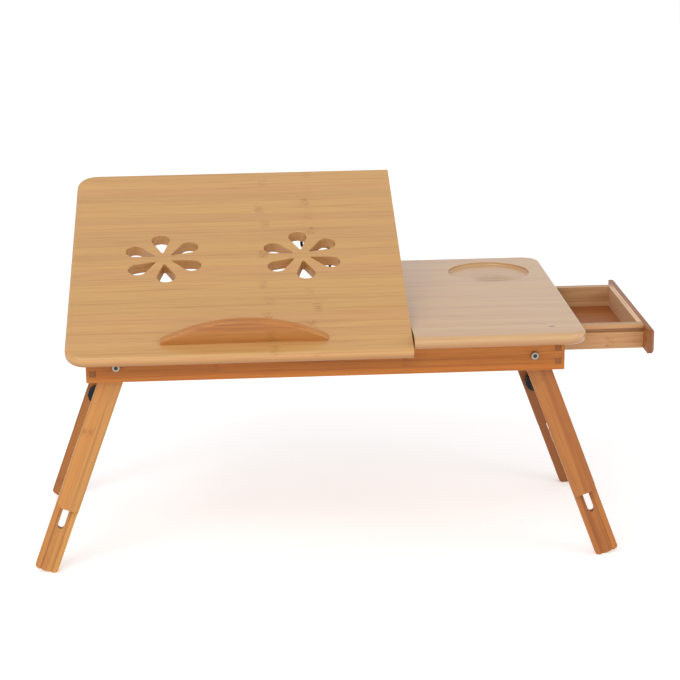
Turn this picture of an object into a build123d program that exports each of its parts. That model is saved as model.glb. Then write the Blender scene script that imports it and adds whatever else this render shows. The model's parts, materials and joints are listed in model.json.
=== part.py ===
from build123d import *
import os
from math import asin, cos, degrees, pi, radians, sin, sqrt, tan

# Folding bamboo laptop stand: a tilting panel, a fixed side panel with a drawer below, four folding legs.
# Millimetres. X runs along the stand, Y from its front edge to its back, Z up from the floor.

# ---- top boards ----
top_length = 550.0
top_depth = 350.0
top_height = 271.5
board = 13.0
tilt_width = 365.4
seam_gap = 1.2
seat_gap = 0.2           # air between the lowered tilting panel and the rails
corner_radius = 22.0
edge_round = 4.6         # rounded outer edges of both boards
tilt_angle = 22.0        # the panel stands at its top notch

# ---- vents, book ledge and cup recess ----
vent_x = 102.0
vent_spacing = 153.9
vent_y = 178.0
petals = 6
petal_turn = 5.5         # the flower's turn from upright, degrees
petal_inner = 11.0
petal_outer = 45.0
petal_width = 20.0
petal_tip = 1.2
petal_ease = 0.7         # broken edge round each petal
ledge_length = 176.0
ledge_height = 27.7
ledge_thick = 9.0
ledge_end = 3.5
ledge_x = 188.4
ledge_y = 20.5
ledge_ease = 1.8
cup_x = 481.0
cup_y = 277.5
cup_diameter = 95.0
cup_depth = 3.5
cup_fillet = 2.0

# ---- frame ----
frame_length = 510.0
frame_depth = 287.0
rail_thick = 12.0
rail_height = 35.5
rail_ease = 1.0
side_thick = 10.0
side_inset = 2.0
tenon_width = 7.0
tenon_height = 6.5
tenon_low = 6.5
tenon_gap = 8.0
tenon_fit = 0.05
centre_thick = 12.0
centre_bearing = 6.0     # width of the centre rail under the tilting panel
blind_tenon = 6.0
dowel_diameter = 6.0
dowel_length = 18.0
dowel_fit = 0.05

# ---- legs ----
splay = 20.5
pivot_drop = 19.0
leg_width = 25.6
upper_thick = 8.0
upper_length = 175.0
upper_corner = 8.5
leg_ease = 1.0
tongue_width = 13.6
tongue_depth = 2.4
tongue_start = 100.0
lower_thick = 10.0
lower_start = 95.0
channel_width = 14.0
channel_depth = 2.8
slot_width = 7.0
slot_start = 103.0
slot_end = 202.0
foot_radius = 25.0
foot_corner = 3.5
leg_gap = 0.5            # between rail and upper leg
slide_gap = 0.2          # between upper and lower leg
stop_gap = 0.2           # between an open leg and the side rail that stops it
fold_gap = 0.4           # between a folded leg and the centre rail's ends

# ---- leg hardware ----
bolt_diameter = 6.0
bolt_fit = 0.08
bolt_head_diameter = 8.6
bolt_head_height = 2.4
socket_width = 4.0
socket_depth = 1.4
washer_diameter = 12.0
washer_thick = 1.0
nut_width = 10.0
nut_thick = 5.0
stud_place = 113.0
stud_buried = 6.5
clamp_washer_diameter = 16.0
clamp_washer_thick = 1.2
knob_diameter = 21.5
knob_height = 13.0
knob_collar = 3.0
knob_flutes = 10
flute_diameter = 3.6
knob_round = 1.6
knob_cap = 3.0
running_gap = 0.2

# ---- drawer ----
drawer_width = 176.5
drawer_length = 153.0
drawer_height = 27.0
drawer_lower_gap = 0.5   # above the strip below the mouth
drawer_side = 10.0
drawer_wall = 5.5
drawer_back_wall = 8.0
drawer_floor = 3.0
floor_lift = 0.4
floor_groove = 2.5
plate_width = 222.6
plate_thick = 7.5
plate_bevel = 2.4
drawer_open = 98.0
drawer_shut_gap = 0.3
mouth_gap = 2.5
mouth_strip = 5.0
groove_drop = 4.3
groove_height = 4.3
groove_depth = 4.5
runner_thick = 6.5
runner_height = 30.0
runner_gap = 0.5
tongue_play = 0.2

# ---- panel hinges ----
hinge_x = 80.0
hinge_spacing = 210.0
hinge_length = 40.0
knuckle_radius = 2.75
knuckles = 5
knuckle_gap = 0.2
pin_radius = 1.2
pin_fit = 0.05
leaf_thick = 1.2
rail_leaf_height = 11.0
panel_leaf_depth = 14.0
hinge_screw = 2.8
hinge_screw_head = 5.4
hinge_screw_length = 9.0
hinge_screw_edge = 9.0
screw_cap = 1.2
cross_slot = 0.8
cross_depth = 0.7
drill_length = 60.0

# ---- wire stay and its notched board ----
stay_reach = 212.0       # from the tilt axis to the stay's clips
stay_drop = 4.0          # clip axis below the panel
stay_lean = 47.0         # stay below the horizontal at the top notch
stay_offset = 13.7       # the stay's middle, left of the panel's middle
stay_edge = 49.0         # from the panel's left edge to the stay's wide part
stay_jog = 31.0          # how far each arm steps outwards
wide_half = tilt_width / 2 - stay_offset - stay_edge
narrow_half = wide_half - stay_jog
wire_diameter = 3.2
jog_place = 16.5
wire_bend = 3.6
pivot_tail = 16.0
wire_fit = 0.1
clip_width = 8.0
clip_thick = 1.2
clip_foot = 11.0
clip_screw = 3.0
clip_screw_head = 5.6
clip_screw_length = 9.0
rack_thick = 8.0
rack_lift = 0.5          # board's underside above the rails' underside
rack_front = 34.0        # board in front of the first notch
rack_back = 12.0
notches = 4
notch_pitch = 8.0
notch_depth = 0.9
foot_gap = 0.1           # wire above the notched face

# ---- places worked out from the sizes ----
mid_x = top_length / 2
mid_y = top_depth / 2
underside = top_height - board
rail_bottom = underside - rail_height
frame_left = mid_x - frame_length / 2
frame_front = mid_y - frame_depth / 2
rail_inner = frame_front + rail_thick
frame_back = frame_front + frame_depth
side_outer = frame_left + side_inset
side_inner = side_outer + side_thick
right_inner = 2 * mid_x - side_inner
right_outer = 2 * mid_x - side_outer
seam_right = tilt_width + seam_gap
tilt_underside = underside + seat_gap

half_leg = leg_width / 2
splay_sin = sin(radians(splay))
splay_cos = cos(radians(splay))
pivot_above_rail_bottom = rail_height - pivot_drop
leg_offset = half_leg * splay_cos + (pivot_above_rail_bottom + half_leg * splay_sin) * tan(radians(splay))
pivot_x = side_inner + stop_gap + leg_offset
pivot_z = underside - pivot_drop
foot_reach = (pivot_z - foot_radius) / splay_cos + foot_radius
upper_y = rail_inner + leg_gap
lower_y = upper_y + upper_thick + slide_gap
clamp_washer_y = lower_y + lower_thick + running_gap
knob_y = clamp_washer_y + clamp_washer_thick + running_gap
slide_out = stud_place - slot_start - slot_width / 2 - 0.5
slide_in = slot_end - stud_place - slot_width / 2 - 2.0

drawer_z = rail_bottom + mouth_strip + drawer_lower_gap
drawer_top = drawer_z + drawer_height
drawer_front_y = mid_y - drawer_width / 2
drawer_back_y = mid_y + drawer_width / 2
plate_x = right_outer + drawer_shut_gap + drawer_open
drawer_start = plate_x - drawer_length
groove_z = drawer_top - groove_drop - groove_height

centre_left = tilt_width - centre_bearing
centre_right = centre_left + centre_thick
leg_room = (upper_y + upper_thick + slide_gap + lower_thick + running_gap * 2 + clamp_washer_thick
            + knob_height)

axis_y = frame_front - knuckle_radius
axis_z = tilt_underside - knuckle_radius
stay_y = axis_y + stay_reach
stay_z = tilt_underside - stay_drop
rack_bottom = rail_bottom + rack_lift
rack_top = rack_bottom + rack_thick


def block(x0, x1, y0, y1, z0, z1):
    """Box between two corners."""
    return Pos((x0 + x1) / 2, (y0 + y1) / 2, (z0 + z1) / 2) * Box(abs(x1 - x0), abs(y1 - y0), abs(z1 - z0))


def rod_x(x0, x1, y, z, radius):
    """Cylinder along X."""
    return Pos((x0 + x1) / 2, y, z) * Rot(0, 90, 0) * Cylinder(radius, abs(x1 - x0))


def rod_y(x, y0, y1, z, radius):
    """Cylinder along Y."""
    return Pos(x, (y0 + y1) / 2, z) * Rot(90, 0, 0) * Cylinder(radius, abs(y1 - y0))


def rod_z(x, y, z0, z1, radius):
    """Cylinder along Z."""
    return Pos(x, y, (z0 + z1) / 2) * Cylinder(radius, abs(z1 - z0))


def group(parts):
    """Several separate solids as one node."""
    return Compound(children=[solid for part in parts for solid in part.solids()])


def tilt(shape, angle=tilt_angle):
    """Turn a shape with the tilting panel about the hinge line."""
    return Pos(0, axis_y, axis_z) * Rot(angle, 0, 0) * Pos(0, -axis_y, -axis_z) * shape


def turned(y, z, angle=tilt_angle):
    """Place in the YZ plane of a point that turns with the tilting panel."""
    a = radians(angle)
    dy = y - axis_y
    dz = z - axis_z
    return axis_y + dy * cos(a) - dz * sin(a), axis_z + dy * sin(a) + dz * cos(a)


# ---- top boards ----

def top_board(x0, x1, z0, z1, round_side):
    """Board with two rounded corners and rounded edges, square on the side at the seam."""
    plate = block(x0, x1, 0, top_depth, z0, z1)
    outer_x = x0 if round_side == "left" else x1
    seam_x = x1 if round_side == "left" else x0
    corners = [e for e in plate.edges().filter_by(Axis.Z) if abs(e.center().X - outer_x) < 0.01]
    plate = fillet(corners, corner_radius)
    rims = []
    for edge in plate.faces().sort_by(Axis.Z)[-1].edges() + plate.faces().sort_by(Axis.Z)[0].edges():
        if abs(edge.center().X - seam_x) > 0.01:
            rims.append(edge)
    return fillet(rims, edge_round)


def petal(angle, z0, z1):
    """Drop-shaped cutter: a round outer end drawn to a small tip near the flower's middle."""
    big = petal_width / 2
    far = petal_outer - big
    near = petal_inner + petal_tip
    lean = asin((big - petal_tip) / (far - near))
    tip_x = near - petal_tip * sin(lean)
    tip_y = petal_tip * cos(lean)
    end_x = far - big * sin(lean)
    end_y = big * cos(lean)
    outline = Line((tip_x, tip_y), (end_x, end_y))
    outline += ThreePointArc((end_x, end_y), (petal_outer, 0), (end_x, -end_y))
    outline += Line((end_x, -end_y), (tip_x, -tip_y))
    outline += ThreePointArc((tip_x, -tip_y), (petal_inner, 0), (tip_x, tip_y))
    face = make_face(outline)
    return Pos(0, 0, z0) * Rot(0, 0, angle) * extrude(face, z1 - z0)


def make_tilt_panel():
    """Tilting board with two flower vents and the ledge's dowel holes, drawn lying flat."""
    plate = top_board(0, tilt_width, tilt_underside, top_height, "left")
    for x in (vent_x, vent_x + vent_spacing):
        for i in range(petals):
            cutter = petal(90 + petal_turn + i * 360 / petals, tilt_underside - 1, top_height + 1)
            plate -= Pos(x, vent_y, 0) * cutter
    petal_faces = [e for e in plate.faces().sort_by(Axis.Z)[-1].inner_wires().edges()]
    plate = chamfer(petal_faces, petal_ease)
    for x in ledge_dowel_places():
        depth = top_height - dowel_length / 2
        plate -= rod_z(x, ledge_y + ledge_thick / 2, depth - 0.2, top_height + 1,
                       dowel_diameter / 2 + dowel_fit)
    return tilt(plate)


def ledge_dowel_places():
    return (ledge_x - ledge_length / 5, ledge_x + ledge_length / 5)


def make_ledge():
    """Book ledge: a flat arch with blunt ends, standing on the tilting panel."""
    half = ledge_length / 2
    outline = Polyline((-half, ledge_end), (-half, 0), (half, 0), (half, ledge_end))
    outline += ThreePointArc((half, ledge_end), (0, ledge_height), (-half, ledge_end))
    face = Plane(origin=(ledge_x, ledge_y, top_height), x_dir=(1, 0, 0), z_dir=(0, -1, 0)) * make_face(outline)
    arch = extrude(face, -ledge_thick)
    rims = [e for e in arch.edges().filter_by(GeomType.CIRCLE)]
    arch = fillet(rims, ledge_ease)
    for x in ledge_dowel_places():
        top = top_height + dowel_length / 2 + 0.2
        arch -= rod_z(x, ledge_y + ledge_thick / 2, top_height - 1, top, dowel_diameter / 2 + dowel_fit)
    return tilt(arch)


def make_ledge_dowels():
    """Two wooden dowels that hold the ledge to the panel."""
    y = ledge_y + ledge_thick / 2
    half = dowel_length / 2
    pins = [rod_z(x, y, top_height - half, top_height + half, dowel_diameter / 2) for x in ledge_dowel_places()]
    return tilt(group(pins))


def make_fixed_top():
    """Fixed side board with the round cup recess and the holes for its hidden dowels."""
    plate = top_board(seam_right, top_length, underside, top_height, "right")
    bowl = rod_z(cup_x, cup_y, top_height - cup_depth, top_height + 10, cup_diameter / 2)
    bowl = fillet(bowl.edges().sort_by(Axis.Z)[0:1], cup_fillet)
    plate -= bowl
    for x, y in top_dowel_places():
        plate -= rod_z(x, y, underside - 1, underside + dowel_length / 2 + 0.2,
                       dowel_diameter / 2 + dowel_fit)
    return plate


def top_dowel_places():
    """Two dowels over each long rail under the fixed board."""
    span = right_outer - centre_right
    xs = (centre_right + span * 0.2, centre_right + span * 0.6)
    ys = (frame_front + rail_thick / 2, frame_back - rail_thick / 2)
    return [(x, y) for x in xs for y in ys]


def make_top_dowels():
    half = dowel_length / 2
    return group([rod_z(x, y, underside - half, underside + half, dowel_diameter / 2)
                  for x, y in top_dowel_places()])


# ---- frame ----

def side_tenons(x_mid, y0, y1, grow=0.0):
    """The pair of square tenons, one above the other, that shows at each end of the long rails."""
    pins = []
    for low in (tenon_low, tenon_low + tenon_height + tenon_gap):
        z0 = rail_bottom + low
        half = tenon_width / 2 + grow
        pins.append(block(x_mid - half, x_mid + half, y0, y1, z0 - grow, z0 + tenon_height + grow))
    return pins


def long_rail():
    """Front rail: mortised for the side rails, drilled for the leg bolts, dowels and hinge screws."""
    rail = block(frame_left, frame_left + frame_length, frame_front, rail_inner, rail_bottom, underside)
    low_edges = [e for e in rail.edges().filter_by(Axis.X) if e.center().Z < rail_bottom + 1]
    rail = fillet(low_edges, rail_ease)
    for x_mid in (side_outer + side_thick / 2, right_outer - side_thick / 2):
        for pin in side_tenons(x_mid, frame_front - 1, rail_inner + 1, tenon_fit):
            rail -= pin
    for x in (pivot_x, 2 * mid_x - pivot_x):
        rail -= rod_y(x, frame_front - 1, rail_inner + 1, pivot_z, bolt_diameter / 2 + bolt_fit)
    rail -= centre_tenon(tenon_fit)
    for x, y in top_dowel_places():
        if y < mid_y:
            rail -= rod_z(x, y, underside - dowel_length / 2 - 0.2, underside + 1,
                          dowel_diameter / 2 + dowel_fit)
    return rail


def make_front_rail():
    rail = long_rail()
    for x, z in rail_screw_places():
        rail -= rod_y(x, frame_front - 1, frame_front + hinge_screw_length, z, hinge_screw / 2 + dowel_fit)
    return rail


def make_back_rail():
    return long_rail().mirror(Plane.XZ.offset(-mid_y))


def make_left_rail():
    """Side rail with two through tenons at each end and a mortise for the notched board."""
    rail = block(side_outer, side_inner, rail_inner, 2 * mid_y - rail_inner, rail_bottom, underside)
    x_mid = side_outer + side_thick / 2
    for pin in (side_tenons(x_mid, frame_front, rail_inner)
                + side_tenons(x_mid, 2 * mid_y - rail_inner, frame_back)):
        rail += pin
    rail -= rack_tenon(side_inner, -blind_tenon, tenon_fit)
    return rail


def make_right_rail():
    """Side rail cut down to a strip for the drawer's mouth, open to the board above."""
    rail = block(right_inner, right_outer, rail_inner, 2 * mid_y - rail_inner, rail_bottom, underside)
    x_mid = right_outer - side_thick / 2
    for pin in (side_tenons(x_mid, frame_front, rail_inner)
                + side_tenons(x_mid, 2 * mid_y - rail_inner, frame_back)):
        rail += pin
    mouth = block(right_inner - 1, right_outer + 1, drawer_front_y - mouth_gap, drawer_back_y + mouth_gap,
                  rail_bottom + mouth_strip, underside + 1)
    return rail - mouth


def centre_tenon(grow=0.0):
    """Blind tenon of the centre rail in the front rail."""
    thin = pivot_drop - half_leg - fold_gap
    return block(centre_left + 2 - grow, centre_right - 2 + grow, rail_inner - blind_tenon - grow, rail_inner + 0.01,
                 underside - thin + 1 - grow, underside - 1 + grow)


def make_centre_rail():
    """Rail under the seam, cut thin at both ends so that the folded legs pass below."""
    thin = pivot_drop - half_leg - fold_gap
    rail = block(centre_left, centre_right, rail_inner, 2 * mid_y - rail_inner, underside - thin, underside)
    rail += block(centre_left, centre_right, leg_room + 2, 2 * mid_y - leg_room - 2, rail_bottom, underside)
    rail += centre_tenon() + centre_tenon().mirror(Plane.XZ.offset(-mid_y))
    rail -= rack_tenon(centre_left, blind_tenon, tenon_fit)
    return rail


# ---- notched board for the stay ----

def foot_place():
    """Where the stay's foot bar stands at the top notch."""
    hinge_y, hinge_z = turned(stay_y, stay_z)
    foot_z = rack_top + foot_gap + wire_diameter / 2
    length = (hinge_z - foot_z) / sin(radians(stay_lean))
    return hinge_y - length * cos(radians(stay_lean)), foot_z, length


def rack_span():
    foot_y = foot_place()[0]
    return foot_y - rack_front, foot_y + rack_back


def rack_tenon(face_x, depth, grow=0.0):
    """Blind tenon at one end of the notched board."""
    y0, y1 = rack_span()
    near = face_x
    far = face_x + depth + (grow if depth > 0 else -grow)
    return block(near, far, y0 + 3 - grow, y1 - 3 + grow, rack_bottom + 2 - grow, rack_top - 2 + grow)


def make_rack_board():
    """Cross board with shallow grooves that catch the stay's foot bar."""
    y0, y1 = rack_span()
    slab = block(side_inner, centre_left, y0, y1, rack_bottom, rack_top)
    slab += rack_tenon(side_inner, -blind_tenon) + rack_tenon(centre_left, blind_tenon)
    foot_y = foot_place()[0]
    wire = wire_diameter / 2 + wire_fit
    for i in range(notches):
        slab -= rod_x(side_inner + 20, centre_left - 20, foot_y - i * notch_pitch,
                      rack_top + wire - notch_depth, wire)
    return slab


# ---- drawer runners ----

def make_runner():
    """Front runner: a board with a tongue that fits the groove in the drawer's side."""
    face = drawer_front_y - runner_gap
    strip = block(centre_right, right_inner, face - runner_thick, face, underside - runner_height, underside)
    reach = groove_depth - runner_gap
    strip += block(centre_right, right_inner, face, face + runner_gap + reach,
                   groove_z + tongue_play, groove_z + groove_height - tongue_play)
    return strip


# ---- drawer ----

def floor_panel(grow=0.0):
    """The drawer's floor, let into grooves all round."""
    y0 = drawer_front_y + drawer_side - floor_groove
    y1 = drawer_back_y - drawer_side + floor_groove
    x0 = drawer_start + drawer_back_wall - floor_groove
    x1 = plate_x - drawer_wall + floor_groove
    z0 = drawer_z + floor_lift
    return block(x0 - grow, x1 + grow, y0 - grow, y1 + grow, z0 - grow, z0 + drawer_floor + grow)


def make_drawer_side():
    """Front side of the drawer, grooved outside for the runner and inside for the floor."""
    side = block(drawer_start, plate_x, drawer_front_y, drawer_front_y + drawer_side, drawer_z, drawer_top)
    side -= block(drawer_start - 1, plate_x + 1, drawer_front_y - 1, drawer_front_y + groove_depth,
                  groove_z, groove_z + groove_height)
    side -= floor_panel(tenon_fit)
    for x, z in drawer_dowel_places():
        side -= drawer_dowel(x, z, dowel_fit)
    return side


def drawer_dowel_places():
    """One dowel joins each wall to each side."""
    z = drawer_z + drawer_height / 3
    return ((drawer_start + drawer_back_wall / 2, z), (plate_x - drawer_wall / 2, z))


def drawer_dowel(x, z, grow=0.0):
    """Thin dowel across the corner between a wall and the front side."""
    y = drawer_front_y + drawer_side
    reach = drawer_side / 2
    return rod_y(x, y - reach + 1 - grow, y + reach + 1 + grow, z, 1.5 + grow)


def drawer_wall_block(x0, x1):
    """Wall between the two sides."""
    wall = block(x0, x1, drawer_front_y + drawer_side, drawer_back_y - drawer_side, drawer_z, drawer_top)
    wall -= floor_panel(tenon_fit)
    for x, z in drawer_dowel_places():
        pin = drawer_dowel(x, z, dowel_fit)
        wall -= pin
        wall -= pin.mirror(Plane.XZ.offset(-mid_y))
    return wall


def make_drawer_plate():
    """Front plate, wider than the drawer, with bevelled outer edges."""
    plate = block(plate_x, plate_x + plate_thick, mid_y - plate_width / 2, mid_y + plate_width / 2,
                  drawer_z, drawer_top)
    plate = chamfer(plate.faces().sort_by(Axis.X)[-1].edges(), plate_bevel)
    for pin in plate_dowels(dowel_fit):
        plate -= pin
    return plate


def plate_dowels(grow=0.0):
    """Two thin dowels between the front wall and the plate."""
    z = drawer_z + drawer_height * 0.6
    reach = drawer_wall - 1
    return [rod_x(plate_x - reach - grow, plate_x + reach + grow, y, z, 1.5 + grow)
            for y in (mid_y - drawer_width / 4, mid_y + drawer_width / 4)]


def make_drawer_front_wall():
    wall = drawer_wall_block(plate_x - drawer_wall, plate_x)
    for pin in plate_dowels(dowel_fit):
        wall -= pin
    return wall


def make_drawer_dowels():
    pins = [drawer_dowel(x, z) for x, z in drawer_dowel_places()]
    pins += [pin.mirror(Plane.XZ.offset(-mid_y)) for pin in pins]
    return group(pins + plate_dowels())


# ---- legs, drawn for the front left corner ----

def leg_plane(y):
    """Drawing plane of the open left leg: x across it, outwards, and -y down its length from the pivot."""
    return Plane(origin=(pivot_x, y, pivot_z), x_dir=(-splay_cos, 0, splay_sin), z_dir=(0, 1, 0))


def leg_slab(outline, y, thick):
    return extrude(leg_plane(y) * make_face(outline), thick)


def make_upper_leg():
    """Upper leg: round head at the pivot, one rounded lower corner, and a tongue that guides the lower leg."""
    w = half_leg
    r = upper_corner
    tail = upper_length
    outline = Polyline((-w, 0), (-w, -tail), (w - r, -tail))
    outline += RadiusArc((w - r, -tail), (w, r - tail), -r)
    outline += Line((w, r - tail), (w, 0))
    outline += ThreePointArc((w, 0), (0, w), (-w, 0))
    plank = leg_slab(outline, upper_y, upper_thick)
    rim = plank.faces().sort_by(Axis.Y)[0].edges()
    plank = fillet(rim, leg_ease)
    half = tongue_width / 2
    strip = Polyline((-half, -tongue_start), (-half, -tail), (half, -tail), (half, -tongue_start), close=True)
    plank += leg_slab(strip, upper_y + upper_thick, tongue_depth)
    plank -= leg_plane(upper_y) * Cylinder(bolt_diameter / 2 + bolt_fit, drill_length)
    bottom = Pos(0, -stud_place, upper_thick - stud_buried)
    bore = bottom * Cylinder(bolt_diameter / 2 + dowel_fit, drill_length,
                             align=(Align.CENTER, Align.CENTER, Align.MIN))
    plank -= leg_plane(upper_y) * bore
    return plank


def make_lower_leg():
    """Lower leg: channelled and slotted plank with a rounded foot."""
    w = half_leg
    drop = foot_radius - sqrt(foot_radius ** 2 - w ** 2)
    edge = foot_reach - drop
    outline = Polyline((-w, -edge), (-w, -lower_start), (w, -lower_start), (w, -edge))
    outline += ThreePointArc((w, -edge), (0, -foot_reach), (-w, -edge))
    plank = leg_slab(outline, lower_y, lower_thick)
    plank = fillet(plank.edges().filter_by(Axis.Y).sort_by(Axis.Z)[:2], foot_corner)
    half = channel_width / 2
    far = foot_reach + 5
    near = lower_start - 5
    channel = Polyline((-half, -near), (-half, -far), (half, -far), (half, -near), close=True)
    plank -= leg_slab(channel, lower_y - 1, channel_depth + 1)
    r = slot_width / 2
    slot = Pos(0, -(slot_start + slot_end) / 2) * SlotOverall(slot_end - slot_start, slot_width, rotation=90)
    plank -= extrude(leg_plane(lower_y) * slot, lower_thick + 1)
    return plank


def stud_place_xz():
    """Clamp stud's place in the XZ plane."""
    return pivot_x - stud_place * splay_sin, pivot_z - stud_place * splay_cos


def make_clamp_stud():
    """Threaded stud set blind in the upper leg, through the slot and into the knob."""
    x, z = stud_place_xz()
    y0 = upper_y + upper_thick - stud_buried
    y1 = knob_y + knob_height - knob_cap - running_gap
    return rod_y(x, y0, y1, z, bolt_diameter / 2)


def make_clamp_washer():
    x, z = stud_place_xz()
    ring = rod_y(x, clamp_washer_y, clamp_washer_y + clamp_washer_thick, z, clamp_washer_diameter / 2)
    return ring - rod_y(x, clamp_washer_y - 1, clamp_washer_y + 5, z, bolt_diameter / 2 + dowel_fit)


def make_clamp_knob():
    """Fluted clamp knob on a short collar, bored blind for the stud."""
    outer = knob_diameter / 2
    grip = Pos(0, 0, knob_collar) * Cylinder(outer, knob_height - knob_collar,
                                             align=(Align.CENTER, Align.CENTER, Align.MIN))
    grip = fillet(grip.edges().sort_by(Axis.Z)[-1:], knob_round)
    for i in range(knob_flutes):
        cutter = Pos(outer + flute_diameter / 4, 0, 0) * Cylinder(flute_diameter / 2, drill_length)
        grip -= Rot(0, 0, i * 360 / knob_flutes) * cutter
    grip += Cylinder(clamp_washer_diameter / 2, knob_collar + 0.5,
                     align=(Align.CENTER, Align.CENTER, Align.MIN))
    bore = Cylinder(bolt_diameter / 2 + bolt_fit, knob_height - knob_cap,
                    align=(Align.CENTER, Align.CENTER, Align.MIN))
    grip -= bore
    x, z = stud_place_xz()
    return Plane(origin=(x, knob_y, z), x_dir=(-splay_cos, 0, splay_sin), z_dir=(0, 1, 0)) * grip


def make_pivot_bolt():
    """Leg bolt: low round head with a hexagon socket, shank through rail, leg and nut."""
    end = upper_y + upper_thick + running_gap + washer_thick + nut_thick
    bolt = rod_y(pivot_x, frame_front, end, pivot_z, bolt_diameter / 2)
    head = rod_y(pivot_x, frame_front - bolt_head_height, frame_front, pivot_z, bolt_head_diameter / 2)
    head = fillet(head.edges().sort_by(Axis.Y)[:1], bolt_head_height / 3)
    socket = Plane(origin=(pivot_x, frame_front - bolt_head_height - 0.01, pivot_z), z_dir=(0, 1, 0))
    hexagon = RegularPolygon(socket_width / 2, 6, major_radius=False)
    return bolt + head - extrude(socket * hexagon, socket_depth)


def make_pivot_washer():
    y0 = upper_y + upper_thick + running_gap
    ring = rod_y(pivot_x, y0, y0 + washer_thick, pivot_z, washer_diameter / 2)
    return ring - rod_y(pivot_x, y0 - 1, y0 + 5, pivot_z, bolt_diameter / 2 + dowel_fit)


def make_pivot_nut():
    y0 = upper_y + upper_thick + running_gap + washer_thick
    face = (Plane(origin=(pivot_x, y0, pivot_z), z_dir=(0, 1, 0))
            * RegularPolygon(nut_width / 2, 6, major_radius=False))
    return extrude(face, nut_thick) - rod_y(pivot_x, y0 - 1, y0 + 9, pivot_z, bolt_diameter / 2 + dowel_fit)


def at_corner(shape, corner):
    """Carry a front left piece to another corner of the stand."""
    if corner.endswith("right"):
        shape = shape.mirror(Plane.YZ.offset(mid_x))
    if corner.startswith("back"):
        shape = shape.mirror(Plane.XZ.offset(-mid_y))
    return shape


# ---- panel hinges ----

def knuckle(x0, x1):
    return (rod_x(x0, x1, axis_y, axis_z, knuckle_radius)
            - rod_x(x0 - 1, x1 + 1, axis_y, axis_z, pin_radius + pin_fit))


def knuckle_spans(x_mid, first):
    """Spans of every second knuckle, starting with the given one."""
    step = hinge_length / knuckles
    start = x_mid - hinge_length / 2
    return [(start + i * step + knuckle_gap / 2, start + (i + 1) * step - knuckle_gap / 2)
            for i in range(first, knuckles, 2)]


def hinge_middles():
    return (hinge_x, hinge_x + hinge_spacing)


def rail_screw_places():
    """Screw places in the rail leaves, as X and Z."""
    z = axis_z - rail_leaf_height + 4.5
    return [(x + side * hinge_screw_edge, z) for x in hinge_middles() for side in (-1, 1)]


def panel_screw_places():
    """Screw places in the panel leaves, as X and Y."""
    y = axis_y - panel_leaf_depth + 5.0
    return [(x + side * hinge_screw_edge, y) for x in hinge_middles() for side in (-1, 1)]


def make_rail_leaf(x_mid):
    """Hinge leaf on the front rail's face, with three knuckles."""
    half = hinge_length / 2
    leaf = block(x_mid - half, x_mid + half, frame_front - leaf_thick, frame_front,
                 axis_z - rail_leaf_height, axis_z)
    for x0, x1 in knuckle_spans(x_mid, 1):
        leaf -= block(x0 - knuckle_gap, x1 + knuckle_gap, frame_front - 9, frame_front + 1,
                      axis_z - knuckle_radius - knuckle_gap, axis_z + 9)
    for x0, x1 in knuckle_spans(x_mid, 0):
        leaf += knuckle(x0, x1)
        leaf -= rod_x(x0 - 1, x1 + 1, axis_y, axis_z, pin_radius + pin_fit)
    for x, z in rail_screw_places():
        leaf -= rod_y(x, frame_front - 5, frame_front + 1, z, hinge_screw / 2 + dowel_fit)
    return leaf


def make_panel_leaf(x_mid):
    """Hinge leaf under the panel's front overhang, with two knuckles."""
    half = hinge_length / 2
    leaf = block(x_mid - half, x_mid + half, axis_y - panel_leaf_depth, axis_y,
                 tilt_underside - leaf_thick, tilt_underside)
    for x0, x1 in knuckle_spans(x_mid, 0):
        leaf -= block(x0 - knuckle_gap, x1 + knuckle_gap, axis_y - knuckle_radius - knuckle_gap, axis_y + 9,
                      tilt_underside - 9, tilt_underside + 1)
    for x0, x1 in knuckle_spans(x_mid, 1):
        leaf += knuckle(x0, x1)
        leaf -= rod_x(x0 - 1, x1 + 1, axis_y, axis_z, pin_radius + pin_fit)
    for x, y in panel_screw_places():
        leaf -= rod_z(x, y, tilt_underside - 5, tilt_underside + 1, hinge_screw / 2 + dowel_fit)
    return tilt(leaf)


def make_hinge_pins():
    half = hinge_length / 2
    return group([rod_x(x - half, x + half, axis_y, axis_z, pin_radius) for x in hinge_middles()])


def screw_down(shank, head, length, cap):
    """Small screw along -Z from its seat at the origin, with a low domed head and a cross recess."""
    body = rod_z(0, 0, -length, 0.01, shank / 2)
    dome = rod_z(0, 0, 0, cap, head / 2)
    dome = fillet(dome.edges().sort_by(Axis.Z)[-1:], cap * 0.6)
    reach = head * 0.3
    half = cross_slot / 2
    for x, y in ((reach, half), (half, reach)):
        dome -= block(-x, x, -y, y, cap - cross_depth, cap + 1)
    return body + dome


def make_hinge_rail_screws():
    screw = Rot(90, 0, 0) * screw_down(hinge_screw, hinge_screw_head, hinge_screw_length, screw_cap)
    return group([Pos(x, frame_front - leaf_thick, z) * screw for x, z in rail_screw_places()])


def make_hinge_panel_screws():
    screw = Rot(180, 0, 0) * screw_down(hinge_screw, hinge_screw_head, hinge_screw_length, screw_cap)
    return tilt(group([Pos(x, y, tilt_underside - leaf_thick) * screw for x, y in panel_screw_places()]))


# ---- wire stay ----

def make_stay():
    """One bent wire: pivot tails, narrow arms, a jog out to wide arms, and the foot bar."""
    hinge_y, hinge_z = turned(stay_y, stay_z)
    lean = radians(stay_lean)
    length = foot_place()[2]
    plane = Plane(origin=(mid_stay_x(), hinge_y, hinge_z), x_dir=(1, 0, 0), z_dir=(0, -sin(lean), cos(lean)))
    route = [(pivot_tail_end(), 0), (narrow_half, 0), (narrow_half, -jog_place), (wide_half, -jog_place),
             (wide_half, -length)]
    points = route + [(-x, y) for x, y in reversed(route)]
    line = plane * FilletPolyline(*points, radius=wire_bend)
    start = plane * Pos(pivot_tail_end(), 0, 0) * Rot(0, 90, 0)
    profile = start * Circle(wire_diameter / 2)
    return sweep(profile, path=line)


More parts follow.
